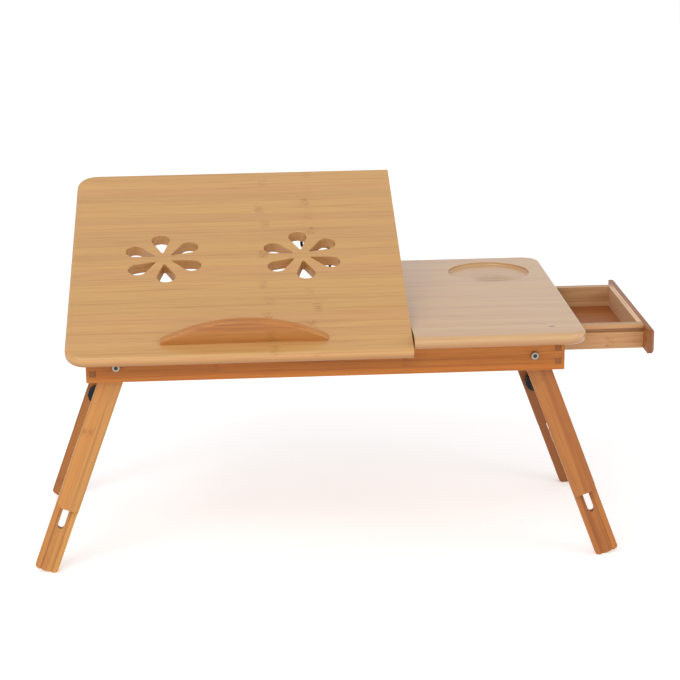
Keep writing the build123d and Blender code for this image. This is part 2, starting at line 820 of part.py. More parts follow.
def mid_stay_x():
    """The stay stands a little left of the tilting panel's middle."""
    return tilt_width / 2 - stay_offset


def pivot_tail_end():
    return narrow_half - pivot_tail


def clip_screw_place(side):
    """Clip's middle in X and its screw's Y, panel lying flat."""
    x = mid_stay_x() + side * (pivot_tail_end() + clip_width / 2 + 1.0)
    return x, stay_y + wire_diameter / 2 + clip_thick + clip_foot / 2


def make_stay_clip(side):
    """Sheet saddle over the wire with one screwed foot."""
    x, screw_y = clip_screw_place(side)
    inner = wire_diameter / 2 + wire_fit
    outer = inner + clip_thick
    half = clip_width / 2
    saddle = rod_x(x - half, x + half, stay_y, stay_z, outer)
    saddle += block(x - half, x + half, stay_y - outer, stay_y + outer, stay_z, tilt_underside)
    saddle -= rod_x(x - half - 1, x + half + 1, stay_y, stay_z, inner)
    saddle -= block(x - half - 1, x + half + 1, stay_y - inner, stay_y + inner, stay_z, tilt_underside + 1)
    foot = block(x - half, x + half, stay_y + inner, screw_y + clip_foot / 2,
                 tilt_underside - clip_thick, tilt_underside)
    foot -= rod_z(x, screw_y, tilt_underside - 9, tilt_underside + 1, clip_screw / 2 + dowel_fit)
    return tilt(saddle + foot)


def make_clip_screws():
    screw = Rot(180, 0, 0) * screw_down(clip_screw, clip_screw_head, clip_screw_length, screw_cap)
    places = [clip_screw_place(side) for side in (-1, 1)]
    return tilt(group([Pos(x, y, tilt_underside - clip_thick) * screw for x, y in places]))


def drill_tilt_panel(panel):
    """Pilot holes for the hinge and clip screws in the raised panel."""
    bores = [rod_z(x, y, tilt_underside - 2, tilt_underside + hinge_screw_length - leaf_thick,
                   hinge_screw / 2 + dowel_fit)
             for x, y in panel_screw_places()]
    for side in (-1, 1):
        x, y = clip_screw_place(side)
        bores.append(rod_z(x, y, tilt_underside - 2, tilt_underside + clip_screw_length - clip_thick,
                           clip_screw / 2 + dowel_fit))
    for bore in bores:
        panel -= tilt(bore)
    return panel


corners = ("front_left", "front_right", "back_left", "back_right")
runner = make_runner()
drawer_side_piece = make_drawer_side()

nodes = {
    "fixed_top": make_fixed_top(),
    "top_dowels": make_top_dowels(),
    "front_rail": make_front_rail(),
    "back_rail": make_back_rail(),
    "left_rail": make_left_rail(),
    "right_rail": make_right_rail(),
    "centre_rail": make_centre_rail(),
    "rack_board": make_rack_board(),
    "runner_front": runner,
    "runner_back": runner.mirror(Plane.XZ.offset(-mid_y)),
    "tilt_panel": drill_tilt_panel(make_tilt_panel()),
    "ledge": make_ledge(),
    "ledge_dowels": make_ledge_dowels(),
    "hinge_rail_leaf_left": make_rail_leaf(hinge_middles()[0]),
    "hinge_rail_leaf_right": make_rail_leaf(hinge_middles()[1]),
    "hinge_panel_leaf_left": make_panel_leaf(hinge_middles()[0]),
    "hinge_panel_leaf_right": make_panel_leaf(hinge_middles()[1]),
    "hinge_pins": make_hinge_pins(),
    "hinge_rail_screws": make_hinge_rail_screws(),
    "hinge_panel_screws": make_hinge_panel_screws(),
    "stay": make_stay(),
    "stay_clip_left": make_stay_clip(-1),
    "stay_clip_right": make_stay_clip(1),
    "stay_clip_screws": make_clip_screws(),
    "drawer_plate": make_drawer_plate(),
    "drawer_front_wall": make_drawer_front_wall(),
    "drawer_back_wall": drawer_wall_block(drawer_start, drawer_start + drawer_back_wall),
    "drawer_side_front": drawer_side_piece,
    "drawer_side_back": drawer_side_piece.mirror(Plane.XZ.offset(-mid_y)),
    "drawer_floor": floor_panel(),
    "drawer_dowels": make_drawer_dowels(),
    "pivot_bolts": group([at_corner(make_pivot_bolt(), c) for c in corners]),
    "pivot_washers": group([at_corner(make_pivot_washer(), c) for c in corners]),
    "pivot_nuts": group([at_corner(make_pivot_nut(), c) for c in corners]),
}
leg_pieces = {
    "upper_leg": make_upper_leg(),
    "lower_leg": make_lower_leg(),
    "clamp_stud": make_clamp_stud(),
    "clamp_washer": make_clamp_washer(),
    "clamp_knob": make_clamp_knob(),
}
for corner in corners:
    for name, piece in leg_pieces.items():
        nodes[name + "_" + corner] = at_corner(piece, corner)

# The origin is the middle of the whole stand's footprint, on the floor.
whole = Compound(children=[solid for shape in nodes.values() for solid in shape.solids()]).bounding_box()
origin = Vector((whole.min.X + whole.max.X) / 2, (whole.min.Y + whole.max.Y) / 2, whole.min.Z)

os.makedirs("parts", exist_ok=True)
for name, shape in nodes.items():
    solids = [Pos(-origin.X, -origin.Y, -origin.Z) * solid for solid in shape.solids()]
    export_step(solids[0] if len(solids) == 1 else Compound(children=solids), "parts/" + name + ".step")
print("nodes", len(nodes), "origin", origin, "size", whole.size)
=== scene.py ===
# %% [markdown]
# # A folding bamboo laptop stand with a side drawer
#
# The real stand is a bed tray: a vented panel that tilts on hinges, a fixed side top with a cup recess, a
# drawer under that top, and four legs that fold inwards and have sliding feet. Its solid pieces come from
# CAD. This lesson dresses them in laminated bamboo, bright zinc, black plastic and black wire, in a plain
# studio.
#
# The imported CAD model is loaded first. Every piece's object sits at the origin, with the piece's place in its
# mesh, so a piece's own box tells where it is.

import json
import math

import bpy
import numpy as np
from mathutils import Matrix, Vector


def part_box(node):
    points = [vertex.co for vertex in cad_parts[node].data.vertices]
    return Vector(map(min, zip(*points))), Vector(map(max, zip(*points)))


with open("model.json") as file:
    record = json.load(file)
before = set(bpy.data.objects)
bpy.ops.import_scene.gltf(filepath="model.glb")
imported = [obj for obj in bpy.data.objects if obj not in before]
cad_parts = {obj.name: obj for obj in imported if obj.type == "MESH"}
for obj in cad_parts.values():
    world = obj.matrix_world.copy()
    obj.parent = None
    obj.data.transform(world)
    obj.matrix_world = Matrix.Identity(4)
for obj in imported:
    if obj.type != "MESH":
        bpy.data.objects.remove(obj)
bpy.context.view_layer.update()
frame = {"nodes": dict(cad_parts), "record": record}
nodes = frame["nodes"]

# %% [markdown]
# ## Places
#
# The scene is laid out from the stand's own front left corner on the floor. The top is 550 mm long and the
# fixed side top ends at its right edge, so that piece's box gives the corner. The panel's hinge line and its
# tilt come from the joint that turns it, and the legs' splay from the joint that slides a foot out. They
# could be typed in again, but read from the model they can't drift away from it.

# %% Find the stand's corner, hinge line and splay
TOP_LENGTH = 0.550
top_lo, top_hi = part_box("fixed_top")
corner = Vector((top_hi.x - TOP_LENGTH, top_lo.y, 0.0))
joints = {joint["name"]: joint for joint in frame["record"]["behaviour"]["joints"]}
hinge_line = Vector(joints["panel_tilt"]["pos_m"])
panel_tilt = -math.radians(joints["panel_tilt"]["range_deg"][0])
leg_axis = joints["extend_front_left"]["axis"]
splay = math.atan2(abs(leg_axis[0]), abs(leg_axis[2]))


def desk(x, y, z):
    """A place in metres from the top's front left corner on the floor, carried to the scene."""
    return corner + Vector((x, y, z))


print("corner", tuple(corner), "tilt", math.degrees(panel_tilt), "splay", math.degrees(splay))

# %% [markdown]
# ## Camera
#
# A photograph is matched by giving the camera the same place, angle and lens. This one looks a little down on
# the stand, from two metres away with a long lens, so its edges stay almost parallel. The lens is written as
# its focal length in pixels of a 680 pixel frame, and the point that the lens looks at as a pixel too. A
# Track To constraint could aim the camera, but it can't roll it, so its three directions are worked out from
# yaw, pitch and roll.

# %% Set the camera
FRAME_PX = 680
FOCAL_PX = 1940.5
MIDDLE_PX = (313.5, 347.9)
CAMERA_PLACE = (0.1757, -1.9434, 0.8262)
YAW, PITCH, ROLL = (math.radians(angle) for angle in (2.490, 16.116, -0.964))

camera_data = bpy.data.cameras.new("camera")
camera_data.sensor_width = 36.0
camera_data.lens = FOCAL_PX * camera_data.sensor_width / FRAME_PX
camera_data.shift_x = (FRAME_PX / 2 - MIDDLE_PX[0]) / FRAME_PX
camera_data.shift_y = (MIDDLE_PX[1] - FRAME_PX / 2) / FRAME_PX
forward = Vector((math.sin(YAW) * math.cos(PITCH), math.cos(YAW) * math.cos(PITCH), -math.sin(PITCH)))
sideways = Vector((math.cos(YAW), -math.sin(YAW), 0.0))
upright = sideways.cross(forward)
right = math.cos(ROLL) * sideways + math.sin(ROLL) * upright
up = math.cos(ROLL) * upright - math.sin(ROLL) * sideways
turn = Matrix((right, up, -forward)).transposed().to_4x4()
camera = bpy.data.objects.new("camera", camera_data)
camera.matrix_world = Matrix.Translation(desk(*CAMERA_PLACE)) @ turn
bpy.context.scene.collection.objects.link(camera)
bpy.context.scene.camera = camera
print("lens", round(camera_data.lens, 1), "mm")

# %% [markdown]
# ## Numbers in a shader
#
# A shader is arithmetic on the surface's place. It could be drawn by hand in the node editor, but a formula
# is easier to read as a formula. So a small class wraps a socket, and each expression on it adds its Math
# nodes.


# %% Wrap a socket
class Value:
    """A number that changes over the surface; an expression on it adds Math nodes."""

    def __init__(self, graph, socket):
        self.graph = graph
        self.socket = socket

    def __add__(self, other):
        return self.graph.math("ADD", self, other)

    def __sub__(self, other):
        return self.graph.math("SUBTRACT", self, other)

    def __rsub__(self, other):
        return self.graph.math("SUBTRACT", other, self)

    def __mul__(self, other):
        return self.graph.math("MULTIPLY", self, other)

    def __truediv__(self, other):
        return self.graph.math("DIVIDE", self, other)

    def __rtruediv__(self, other):
        return self.graph.math("DIVIDE", other, self)

    def __abs__(self):
        return self.graph.math("ABSOLUTE", self)

    __radd__ = __add__
    __rmul__ = __mul__


print("a value takes + - * / and abs")

# %% [markdown]
# ## A material's graph
#
# Every other node comes from one method, which sets the node's settings first and its sockets after. The rest
# are short names for what the materials below do often: read the place or the facing, draw noise, fade a mask
# in or out, mix colours. What is the same all over a surface is set on the shader's own socket.


# %% Build a material's graph
class Graph:
    """A material with a Principled shader, and the ways to add nodes to it.

    Constants name the shader's sockets, with an underscore for each space.
    """

    def __init__(self, name, **constants):
        self.material = bpy.data.materials.new(name)
        self.material.use_nodes = True
        self.tree = self.material.node_tree
        self.shader = self.tree.nodes["Principled BSDF"]
        for socket, value in constants.items():
            self.shader.inputs[socket.replace("_", " ")].default_value = value

    def node(self, kind, settings, inputs):
        """Any node: settings are its own properties, inputs the values or links of its sockets."""
        made = self.tree.nodes.new(kind)
        for name, value in settings.items():
            setattr(made, name, value)
        for name, value in inputs.items():
            self.feed(made.inputs[name], value)
        return made

    def feed(self, socket, value):
        """Links a socket to another node's output, or sets its number or colour."""
        source = value.socket if isinstance(value, Value) else value
        if isinstance(source, bpy.types.NodeSocket):
            self.tree.links.new(source, socket)
        else:
            socket.default_value = source

    def math(self, operation, *values):
        inputs = dict(enumerate(values))
        return Value(self, self.node("ShaderNodeMath", {"operation": operation}, inputs).outputs[0])

    def read(self, coordinate, origin=(0, 0, 0), turned=(0, 0, 0)):
        """The three parts of a coordinate in a piece's own frame: its origin and its turn in radians."""
        vector = self.node("ShaderNodeTexCoord", {}, {}).outputs[coordinate]
        inputs = {"Vector": vector, "Location": tuple(origin), "Rotation": tuple(turned)}
        framed = self.node("ShaderNodeMapping", {"vector_type": "TEXTURE"}, inputs).outputs[0]
        parts = self.node("ShaderNodeSeparateXYZ", {}, {"Vector": framed}).outputs
        return [Value(self, part) for part in parts]

    def vector(self, x, y, z):
        return self.node("ShaderNodeCombineXYZ", {}, {"X": x, "Y": y, "Z": z}).outputs[0]

    def distance(self, first, second):
        """The root of two squares added, which is the distance from an axis."""
        return self.math("SQRT", first * first + second * second)

    def noise(self, vector, detail, roughness=0.5):
        """Noise at a scale of one, because its vector is scaled already."""
        inputs = {"Vector": vector, "Scale": 1.0, "Detail": detail, "Roughness": roughness}
        return Value(self, self.node("ShaderNodeTexNoise", {}, inputs).outputs[0])

    def chance(self, number):
        """A random number from 0 to 1 that stays the same for the same input."""
        made = self.node("ShaderNodeTexWhiteNoise", {"noise_dimensions": "1D"}, {"W": number})
        return Value(self, made.outputs["Value"])

    def ramp(self, value, start, end):
        """A mask that fades in smoothly, from 0 where the value is at start to 1 where it is at end."""
        inputs = {"Value": value, "From Min": start, "From Max": end}
        made = self.node("ShaderNodeMapRange", {"interpolation_type": "SMOOTHSTEP"}, inputs)
        return Value(self, made.outputs["Result"])

    def mix(self, factor, first, second, blend="MIX"):
        """A colour between two others; sockets 0, 6 and 7 are the factor and the two colours."""
        settings = {"data_type": "RGBA", "blend_type": blend}
        return self.node("ShaderNodeMix", settings, {0: factor, 6: first, 7: second}).outputs[2]

    def shaded(self, colour, shade):
        """A colour multiplied by a grey."""
        return self.mix(1.0, colour, self.vector(shade, shade, shade), "MULTIPLY")

    def finish(self, colour, roughness, height, relief, strength):
        """Feeds the shader a colour, a roughness and a relief, whose full height is in metres."""
        bump = self.node("ShaderNodeBump", {}, {"Height": height, "Distance": relief, "Strength": strength})
        self.feed(self.shader.inputs["Base Color"], colour)
        self.feed(self.shader.inputs["Roughness"], roughness)
        self.feed(self.shader.inputs["Normal"], bump.outputs[0])
        print(self.material.name, "made of", len(self.tree.nodes), "shader nodes")
        return self.material


print("a graph reads places, draws noise, fades masks and mixes colours")

# %% [markdown]
# ## Colours
#
# A colour picked from a screen is encoded, and a renderer works with light itself. The tones could be typed
# in as light, but nobody can picture a tan from those numbers, so each is written from 0 to 255, as one would
# pick it, and decoded once.


# %% Decode a picked tone
def tone(red, green, blue):
    """The sRGB curve undone: a straight foot below 0.04045 and a power of 2.4 above it."""
    picked = np.array([red, green, blue]) / 255.0
    light = np.where(picked <= 0.04045, picked / 12.92, ((picked + 0.055) / 1.055) ** 2.4)
    return tuple(float(part) for part in light) + (1.0,)


print("tan", tone(212, 165, 112))

# %% [markdown]
# ## Bamboo: strips and seams
#
# Bamboo board is glued from strips of culm, in plies. A photograph of a board could be wrapped over the
# pieces, but it would stretch round the edges and stop at the cut ends. A solid pattern, worked out from the
# place inside the wood, runs right through it. The pattern's own frame has X along the grain, Y across the
# strips and Z through the plies.
#
# The place across the board, over a strip's width and rounded down, numbers the strips, and whatever differs
# from strip to strip starts from that number. Glue shows as a thin seam round each strip. All lengths are in
# metres.

# %% Number the strips and find their seams
STRIP_WIDTH = 0.0145
PLY = 0.0048
PLY_STEP = 31.0
SEAM = 0.0004


def strips(graph, across, deep, width, ply, seed):
    """Each strip's number, and a mask of the seams.

    Pingpong folds a place back and forth, which gives the distance to a strip's nearer edge. The mask is one
    at that edge and fades out over the seam. Each ply's numbers are a step away from the next one's.
    """
    columns = across / width
    plies = deep / ply
    number = graph.math("FLOOR", columns) + PLY_STEP * graph.math("FLOOR", plies) + seed
    side = graph.math("PINGPONG", columns, 0.5) * width
    layer = graph.math("PINGPONG", plies, 0.5) * ply
    return number, graph.ramp(graph.math("MINIMUM", side, layer), SEAM, 0.0)


print("a strip is", STRIP_WIDTH * 1000, "mm wide and", PLY * 1000, "mm thick")

# %% [markdown]
# ## Bamboo: grain
#
# The wood is a fine fibre, with longer streaks and soft clouds of a warmer tone, and short flecks at the
# growth nodes. A Wave texture could draw lines, but they would be regular, and bamboo's aren't. So all four
# are noise, drawn out along the grain: it changes far less often that way than across.

# %% Draw noise out along the grain
FIBRES = (22.0, 1500.0)
STREAKS = (5.0, 260.0)
CLOUDS = (9.0, 30.0)
FLECKS = (190.0, 900.0)


def grain(graph, place, per_metre, detail, roughness=0.5, shift=0.0):
    """Noise whose place is scaled by two numbers: changes per metre along the grain, and across it."""
    along, across, deep = place
    long_way, cross_way = per_metre
    scaled = graph.vector(along * long_way, across * cross_way, deep * cross_way + shift)
    return graph.noise(scaled, detail, roughness)


print("fibres are", round(1000 / FIBRES[1], 2), "mm thick and streaks", round(1000 / STREAKS[1], 1), "mm")

# %% [markdown]
# ## Bamboo: growth nodes
#
# Every strip crosses its culm's growth nodes, which show as a slightly darker band with short dark and pale
# dashes in it. Voronoi cells could scatter them, but a culm has them at even distances, and strips are laid
# so that neighbours' nodes don't meet. So the distance to a strip's nearest node is its place along the
# grain, folded back and forth, and moved by a step on every second strip and by a little chance on each.

# %% Draw the growth nodes
NODE_PERIOD = 0.285
NODE_START = 0.090
NODE_STEP = 0.050
NODE_SPREAD = 0.010
NODE_HALF = 0.0075
NODE_CORE = 0.001
DASHES_HALF = 0.35 * NODE_HALF
WANDER = 0.005
WANDERS_PER_METRE = 160.0
SPREAD_DRAW = 7.3
SHOWN_DRAW = 5.1
SHOWN = (0.1, 0.9)
DASH_CUT = (0.54, 0.70)
GLINT_CUT = (0.44, 0.30)


def growth_nodes(graph, place, number, period):
    """A soft band at each node, and its dashes and glints: flecks cut off high, and cut off low.

    A strip's own random number says how strongly its nodes show, because sanding takes many of them away.
    What is added to the strip's number draws another random number for each use.
    """
    along, across, deep = place
    odd = graph.math("PINGPONG", number, 1.0)
    shift = odd * NODE_STEP + graph.chance(number + SPREAD_DRAW) * NODE_SPREAD - NODE_START
    waves = graph.vector(0.0, across * WANDERS_PER_METRE, deep * WANDERS_PER_METRE)
    wander = graph.noise(waves, detail=1.0) * WANDER
    distance = graph.math("PINGPONG", along + shift + wander, period / 2)
    shown = graph.ramp(graph.chance(number + SHOWN_DRAW), *SHOWN)
    band = graph.ramp(distance, NODE_HALF, NODE_CORE) * shown
    near = graph.ramp(distance, NODE_HALF, DASHES_HALF) * shown
    fleck = grain(graph, place, FLECKS, detail=1.0)
    return band, graph.ramp(fleck, *DASH_CUT) * near, graph.ramp(fleck, *GLINT_CUT) * near


print("a growth node every", NODE_PERIOD * 1000, "mm,", NODE_HALF * 2000, "mm long")

# %% [markdown]
# ## Bamboo: colour
#
# Two tones of the wood mix along the streaks, each strip from its own starting place. Fibres, streaks, dashes
# and seams then darken it, clouds warm it and glints lighten it. One colour ramp could give all the tones at
# once, but separate layers let each be as strong as on the real board. Each has its cut, between which the
# noise fades in, and its depth, which says how much it covers at most.

# %% Mix the wood's colour
START_SPREAD = 3.0
WARM_CUT = (0.30, 0.70)
WARM_BY_STREAK = 0.6
WARM_BY_STRIP = 0.4
STREAK_CUT, STREAK_DEPTH = (0.50, 0.80), 0.42
FIBRE_CUT, FIBRE_DEPTH = (0.45, 0.85), 0.40
CLOUD_CUT, CLOUD_DEPTH = (0.55, 0.80), 0.16
BAND_DEPTH = 0.10
DASH_DEPTH = 0.42
GLINT_DEPTH = 0.35
SEAM_DEPTH = 0.24


def wood_colour(graph, place, number, seam, node_masks, tones, seed, marks):
    """The colour of sound wood, and its fibre, which later also gives the gloss and the relief.

    Marks says how strongly the growth nodes show.
    """
    along, across, deep = place
    pale, warm, dark = tones
    band, dashes, glints = node_masks
    own = graph.chance(number)
    started = (along + own * START_SPREAD, across, deep)
    fibre = grain(graph, started, FIBRES, detail=2.0)
    streak = grain(graph, started, STREAKS, detail=3.0, roughness=0.6)
    cloud = grain(graph, place, CLOUDS, detail=1.0, shift=seed)
    colour = graph.mix(graph.ramp(streak * WARM_BY_STREAK + own * WARM_BY_STRIP, *WARM_CUT), pale, warm)
    colour = graph.mix(graph.ramp(streak, *STREAK_CUT) * STREAK_DEPTH, colour, dark)
    colour = graph.mix(graph.ramp(fibre, *FIBRE_CUT) * FIBRE_DEPTH, colour, dark)
    colour = graph.mix(graph.ramp(cloud, *CLOUD_CUT) * CLOUD_DEPTH, colour, warm)
    colour = graph.mix(band * BAND_DEPTH * marks + dashes * DASH_DEPTH * marks, colour, dark)
    colour = graph.mix(glints * GLINT_DEPTH * marks, colour, pale)
    return graph.mix(seam * SEAM_DEPTH, colour, dark), fibre


print("dashes cover", DASH_DEPTH, "and streaks", STREAK_DEPTH, "of the wood at most")

# %% [markdown]
# ## Bamboo: ends, rims and a flaw
#
# Where a saw has cut across the fibres, their open ends drink the lacquer and the wood is darker. Such a face
# is known by its normal, which lies along the grain, so the pattern needs no list of cut faces.
#
# The boards' rounded rims get painted shade: they are darker towards the underside, as if the light came from
# above. That could be a second material on the rim's faces, but a mask from the distance to the board's outline
# fades in softly and leaves the vents' walls alone.
#
# A flaw is a small dark blemish, an oval drawn out along the grain and made ragged by the fibres.

# %% Darken ends, paint shade on rims and mark a flaw
BOARD = 0.013
END_CUT = (0.72, 0.96)
RIM_WIDTH = 0.014
RIM_FADE = 0.004
RIM_TOP = 0.0045
FLAW_TONE = tone(70, 46, 34)
FLAW_LONG = 2.2
FLAW_RAGGED = 0.0016
FLAW_CUT, FLAW_DEPTH = (0.0029, 0.0018), 0.9


def cut_ends(graph, colour, turned, dark, ends):
    """Darkens the faces whose normal's part along the grain is large."""
    facing = abs(graph.read("Normal", turned=turned)[0])
    return graph.mix(graph.ramp(facing, *END_CUT) * ends, colour, dark)


def paint_rim_shade(graph, colour, place, dark, rim):
    """Paints shade on the lower plies within a rim's width of a board's outline, where light from above falls
    less.

    Rim holds the board's middle along and across, and half its size along and across. How far a place is
    outside the board is then its distance from the middle, less the half size: negative within the board.
    """
    along, across, deep = place
    outside = graph.math("MAXIMUM", abs(along - rim[0]) - rim[2], abs(across - rim[1]) - rim[3])
    near = graph.ramp(outside, -RIM_WIDTH, RIM_FADE - RIM_WIDTH)
    return graph.mix(graph.ramp(deep, RIM_TOP, -BOARD / 2) * near, colour, dark)


def blemish(graph, colour, place, fibre, flaw):
    """Darkens an oval spot round the flaw's place along and across."""
    along, across, _ = place
    spot = graph.distance((along - flaw[0]) / FLAW_LONG, across - flaw[1])
    return graph.mix(graph.ramp(spot + FLAW_RAGGED * fibre, *FLAW_CUT) * FLAW_DEPTH, colour, FLAW_TONE)


print("a rim is", RIM_WIDTH * 1000, "mm wide, a flaw", round(FLAW_CUT[0] * FLAW_LONG * 2000, 1), "mm long")

# %% [markdown]
# ## Bamboo: the whole material
#
# Every wooden piece of the stand gets this one material with its own tones, seed, frame and stock. A few
# ready materials could be shared instead, but then the same streaks would show on two legs side by side.

# %% Put the bamboo together
LACQUER_ROUGHNESS = 0.22
LACQUER_IOR = 1.5
STRIP_DRAW = 3.7
STRIP_DEPTH = 0.15
FIBRE_DULL = 0.16
DASH_DULL = 0.08
FIBRE_RISE = 0.5
SEAM_SINK = 0.8
DASH_SINK = 0.6
BAND_RISE = 0.3
RELIEF = 0.00012
RELIEF_STRENGTH = 0.5


def bamboo(name, tones, origin, turned, seed, width=STRIP_WIDTH, ply=PLY, gloss=0.36, contrast=0.5,
           lacquer=0.12, ends=0.4, marks=1.0, period=NODE_PERIOD, rim=None, flaw=None):
    """Laminated bamboo in a pale, a warm and a dark tone.

    Gloss is the roughness between the fibres, contrast the difference from strip to strip, lacquer the weight
    of the clear coat, ends how dark a cut end is, and marks how strongly the growth nodes show.
    """
    graph = Graph(name, Coat_Weight=lacquer, Coat_Roughness=LACQUER_ROUGHNESS, IOR=LACQUER_IOR)
    place = graph.read("Object", origin, turned)
    dark = tones[2]
    number, seam = strips(graph, place[1], place[2], width, ply, seed)
    band, dashes, glints = growth_nodes(graph, place, number, period)
    colour, fibre = wood_colour(graph, place, number, seam, (band, dashes, glints), tones, seed, marks)
    colour = cut_ends(graph, colour, turned, dark, ends)
    # Painted shade: the lower half of the rounded rims is darkened.
    if rim:
        colour = paint_rim_shade(graph, colour, place, dark, rim)
    if flaw:
        colour = blemish(graph, colour, place, fibre, flaw)
    spread = STRIP_DEPTH * contrast
    colour = graph.shaded(colour, 1.0 - spread + spread * graph.chance(number + STRIP_DRAW))
    roughness = gloss + FIBRE_DULL * fibre + DASH_DULL * dashes
    height = fibre * FIBRE_RISE - seam * SEAM_SINK - dashes * DASH_SINK + band * BAND_RISE
    return graph.finish(colour, roughness, height, RELIEF, RELIEF_STRENGTH)


print("between strips the tone differs by", STRIP_DEPTH, "at most")

# %% [markdown]
# ## The two tops
#
# The tilting panel and the fixed side top are pale boards with the grain along the stand. The panel's pattern
# is turned with it about the hinge line, so its strips stay parallel to its edges, and both patterns start in
# the middle of the board's thickness.
#
# The side top lies flat, and at a low angle it shines with the white round it. A paler wood would look pale
# from every side, so it gets more lacquer instead, whose shine comes and goes with the view as on the real
# one.

# %% Dress the tilting panel and the side top
LENGTHWISE = (0, 0, 0)
PANEL_TONES = (tone(201, 154, 92), tone(199, 149, 93), tone(158, 102, 48))
SIDE_TOP_TONES = (tone(200, 160, 108), tone(199, 154, 108), tone(164, 108, 52))
FIRST_STRIP = 0.004
FLAW_PLACE = (0.5153, 0.0349)
TOP_DEPTH = top_hi.y - top_lo.y
BOARD_MIDDLE = top_hi.z - BOARD / 2
panel_turned = (panel_tilt, 0, 0)
panel_up = Vector((0, -math.sin(panel_tilt), math.cos(panel_tilt)))
panel_origin = hinge_line + panel_up * (BOARD_MIDDLE - hinge_line.z)
side_top_origin = (corner.x, top_lo.y - FIRST_STRIP, BOARD_MIDDLE)


def rim_of(node, origin):
    """A board's middle, measured from its pattern's origin while it lies flat, and half its size.

    The panel's own box is tilted, so both boards take their depth and its middle from the side top.
    """
    lo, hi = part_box(node)
    middle = (lo.x + hi.x) / 2 - origin[0], (top_lo.y + top_hi.y) / 2 - origin[1]
    return *middle, (hi.x - lo.x) / 2, TOP_DEPTH / 2


def dress(material, *names):
    """Puts one material on the named solid pieces."""
    for name in names:
        slots = nodes[name].data.materials
        slots.clear()
        slots.append(material)
    print(material.name, "on", ", ".join(names))


# Both tops take painted shade on the lower half of their rims.
panel_bamboo = bamboo("bamboo_panel", PANEL_TONES, panel_origin, panel_turned, seed=4.0, contrast=0.55,
                      lacquer=0.2, marks=2.0, rim=rim_of("tilt_panel", hinge_line))
side_top_bamboo = bamboo("bamboo_top", SIDE_TOP_TONES, side_top_origin, LENGTHWISE, seed=11.0, contrast=0.25,
                         lacquer=0.8, rim=rim_of("fixed_top", side_top_origin), flaw=FLAW_PLACE)
dress(panel_bamboo, "tilt_panel")
dress(side_top_bamboo, "fixed_top")

# %% [markdown]
# ## The ledge
#
# The curved strip that keeps a book from sliding is cut from steamed bamboo, which is browner. It could share
# the panel's material, but its strips are narrower and lie in one thick ply. Its pattern is turned with the
# panel, and starts a little off the panel's so that no seam runs along its face.

# %% Dress the ledge
LEDGE_TONES = (tone(188, 124, 56), tone(180, 112, 46), tone(120, 70, 34))
LEDGE_SHIFT = Vector((0, 0.003, 0.002))
ledge_bamboo = bamboo("bamboo_ledge", LEDGE_TONES, panel_origin + LEDGE_SHIFT, panel_turned, seed=2.0,
                      width=0.012, ply=0.021)
dress(ledge_bamboo, "ledge", "ledge_dowels")

# %% [markdown]
# ## The frame under the top
#
# The rails are steamed bamboo on edge, duller than the tops. The long rails run along the stand and the cross
# rails from front to back, so their pattern is a quarter turn round. One pattern could run through the whole
# frame, but the rails are cut from different lengths, so each has its own seed and starts from its own box.

# %% Dress the rails and the notched board
CROSSWISE = (0, 0, math.pi / 2)
RAIL_ASIDE = 0.002
RAIL_DOWN = 0.003
RAIL_TONES = (tone(206, 132, 40), tone(186, 106, 24), tone(108, 50, 10))
RAIL_STOCK = {"width": 0.0135, "ply": 0.0105, "contrast": 1.2, "lacquer": 0.0, "gloss": 0.5, "ends": 0.65,
              "marks": 1.9, "period": 0.205}
RAILS = {
    "front_rail": (LENGTHWISE, 20.0), "back_rail": (LENGTHWISE, 29.0), "rack_board": (LENGTHWISE, 38.0),
    "left_rail": (CROSSWISE, 60.0), "right_rail": (CROSSWISE, 69.0), "centre_rail": (CROSSWISE, 78.0),
}


def middle_below(node, aside, down):
    """Where a pattern starts: the middle of a node's underside, moved aside and down to miss a seam."""
    lo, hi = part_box(node)
    return (lo.x + hi.x) / 2 + aside, (lo.y + hi.y) / 2 + aside, lo.z - down


for node, (turned, seed) in RAILS.items():
    origin = middle_below(node, RAIL_ASIDE, RAIL_DOWN)
    dress(bamboo("bamboo_" + node, RAIL_TONES, origin, turned, seed, **RAIL_STOCK), node)
dress(bpy.data.materials["bamboo_rack_board"], "top_dowels")

# %% [markdown]
# ## The legs
#
# A leg is a plank with the grain along it, so its pattern starts at its pivot and leans with the splay, one way
# on the left and the other on the right. It starts a millimetre aside, so that no seam lies in a leg's face.
# Each corner has its own tones. Real legs differ a little from culm to culm, but most of the difference here is
# painted light and shade: the front left leg, facing the key lamp, is the palest, and the back ones, in shade,
# are the darkest.

# %% Dress the legs
# Painted light and shade: the front left tones are lit, the back ones shaded.
LEG_LIT_AND_SHADED_TONES = {
    "front_left": (tone(202, 144, 74), tone(194, 128, 60), tone(136, 76, 28)),
    "front_right": (tone(182, 114, 48), tone(168, 98, 36), tone(116, 58, 18)),
    "back_left": (tone(172, 108, 44), tone(162, 94, 34), tone(110, 56, 18)),
    "back_right": (tone(168, 104, 42), tone(156, 90, 32), tone(106, 54, 18)),
}
LEG_STOCK = {"width": 0.031, "ply": 0.0115, "contrast": 1.0, "lacquer": 0.0, "gloss": 0.45, "marks": 1.7,
             "period": 0.205}
LEG_SHIFT = Vector((0, 0.001, 0))
PART_SEEDS = {"upper": 103.0, "lower": 117.0}
ROW_SEEDS = {"front": 0.0, "back": 31.0}
SIDE_SEEDS = {"left": 7.0, "right": 0.0}
LEANS = {"left": math.pi / 2 + splay, "right": math.pi / 2 - splay}
corners = [(row, side) for row in ("front", "back") for side in ("left", "right")]

for row, side in corners:
    place = f"{row}_{side}"
    leg_origin = Vector(joints["fold_" + place]["pos_m"]) + LEG_SHIFT
    for part, part_seed in PART_SEEDS.items():
        seed = part_seed + ROW_SEEDS[row] + SIDE_SEEDS[side]
        leg_bamboo = bamboo(f"bamboo_{part}_{place}", LEG_LIT_AND_SHADED_TONES[place], leg_origin, (0, LEANS[side], 0), seed,
                            **LEG_STOCK)
        dress(leg_bamboo, f"{part}_leg_{place}")

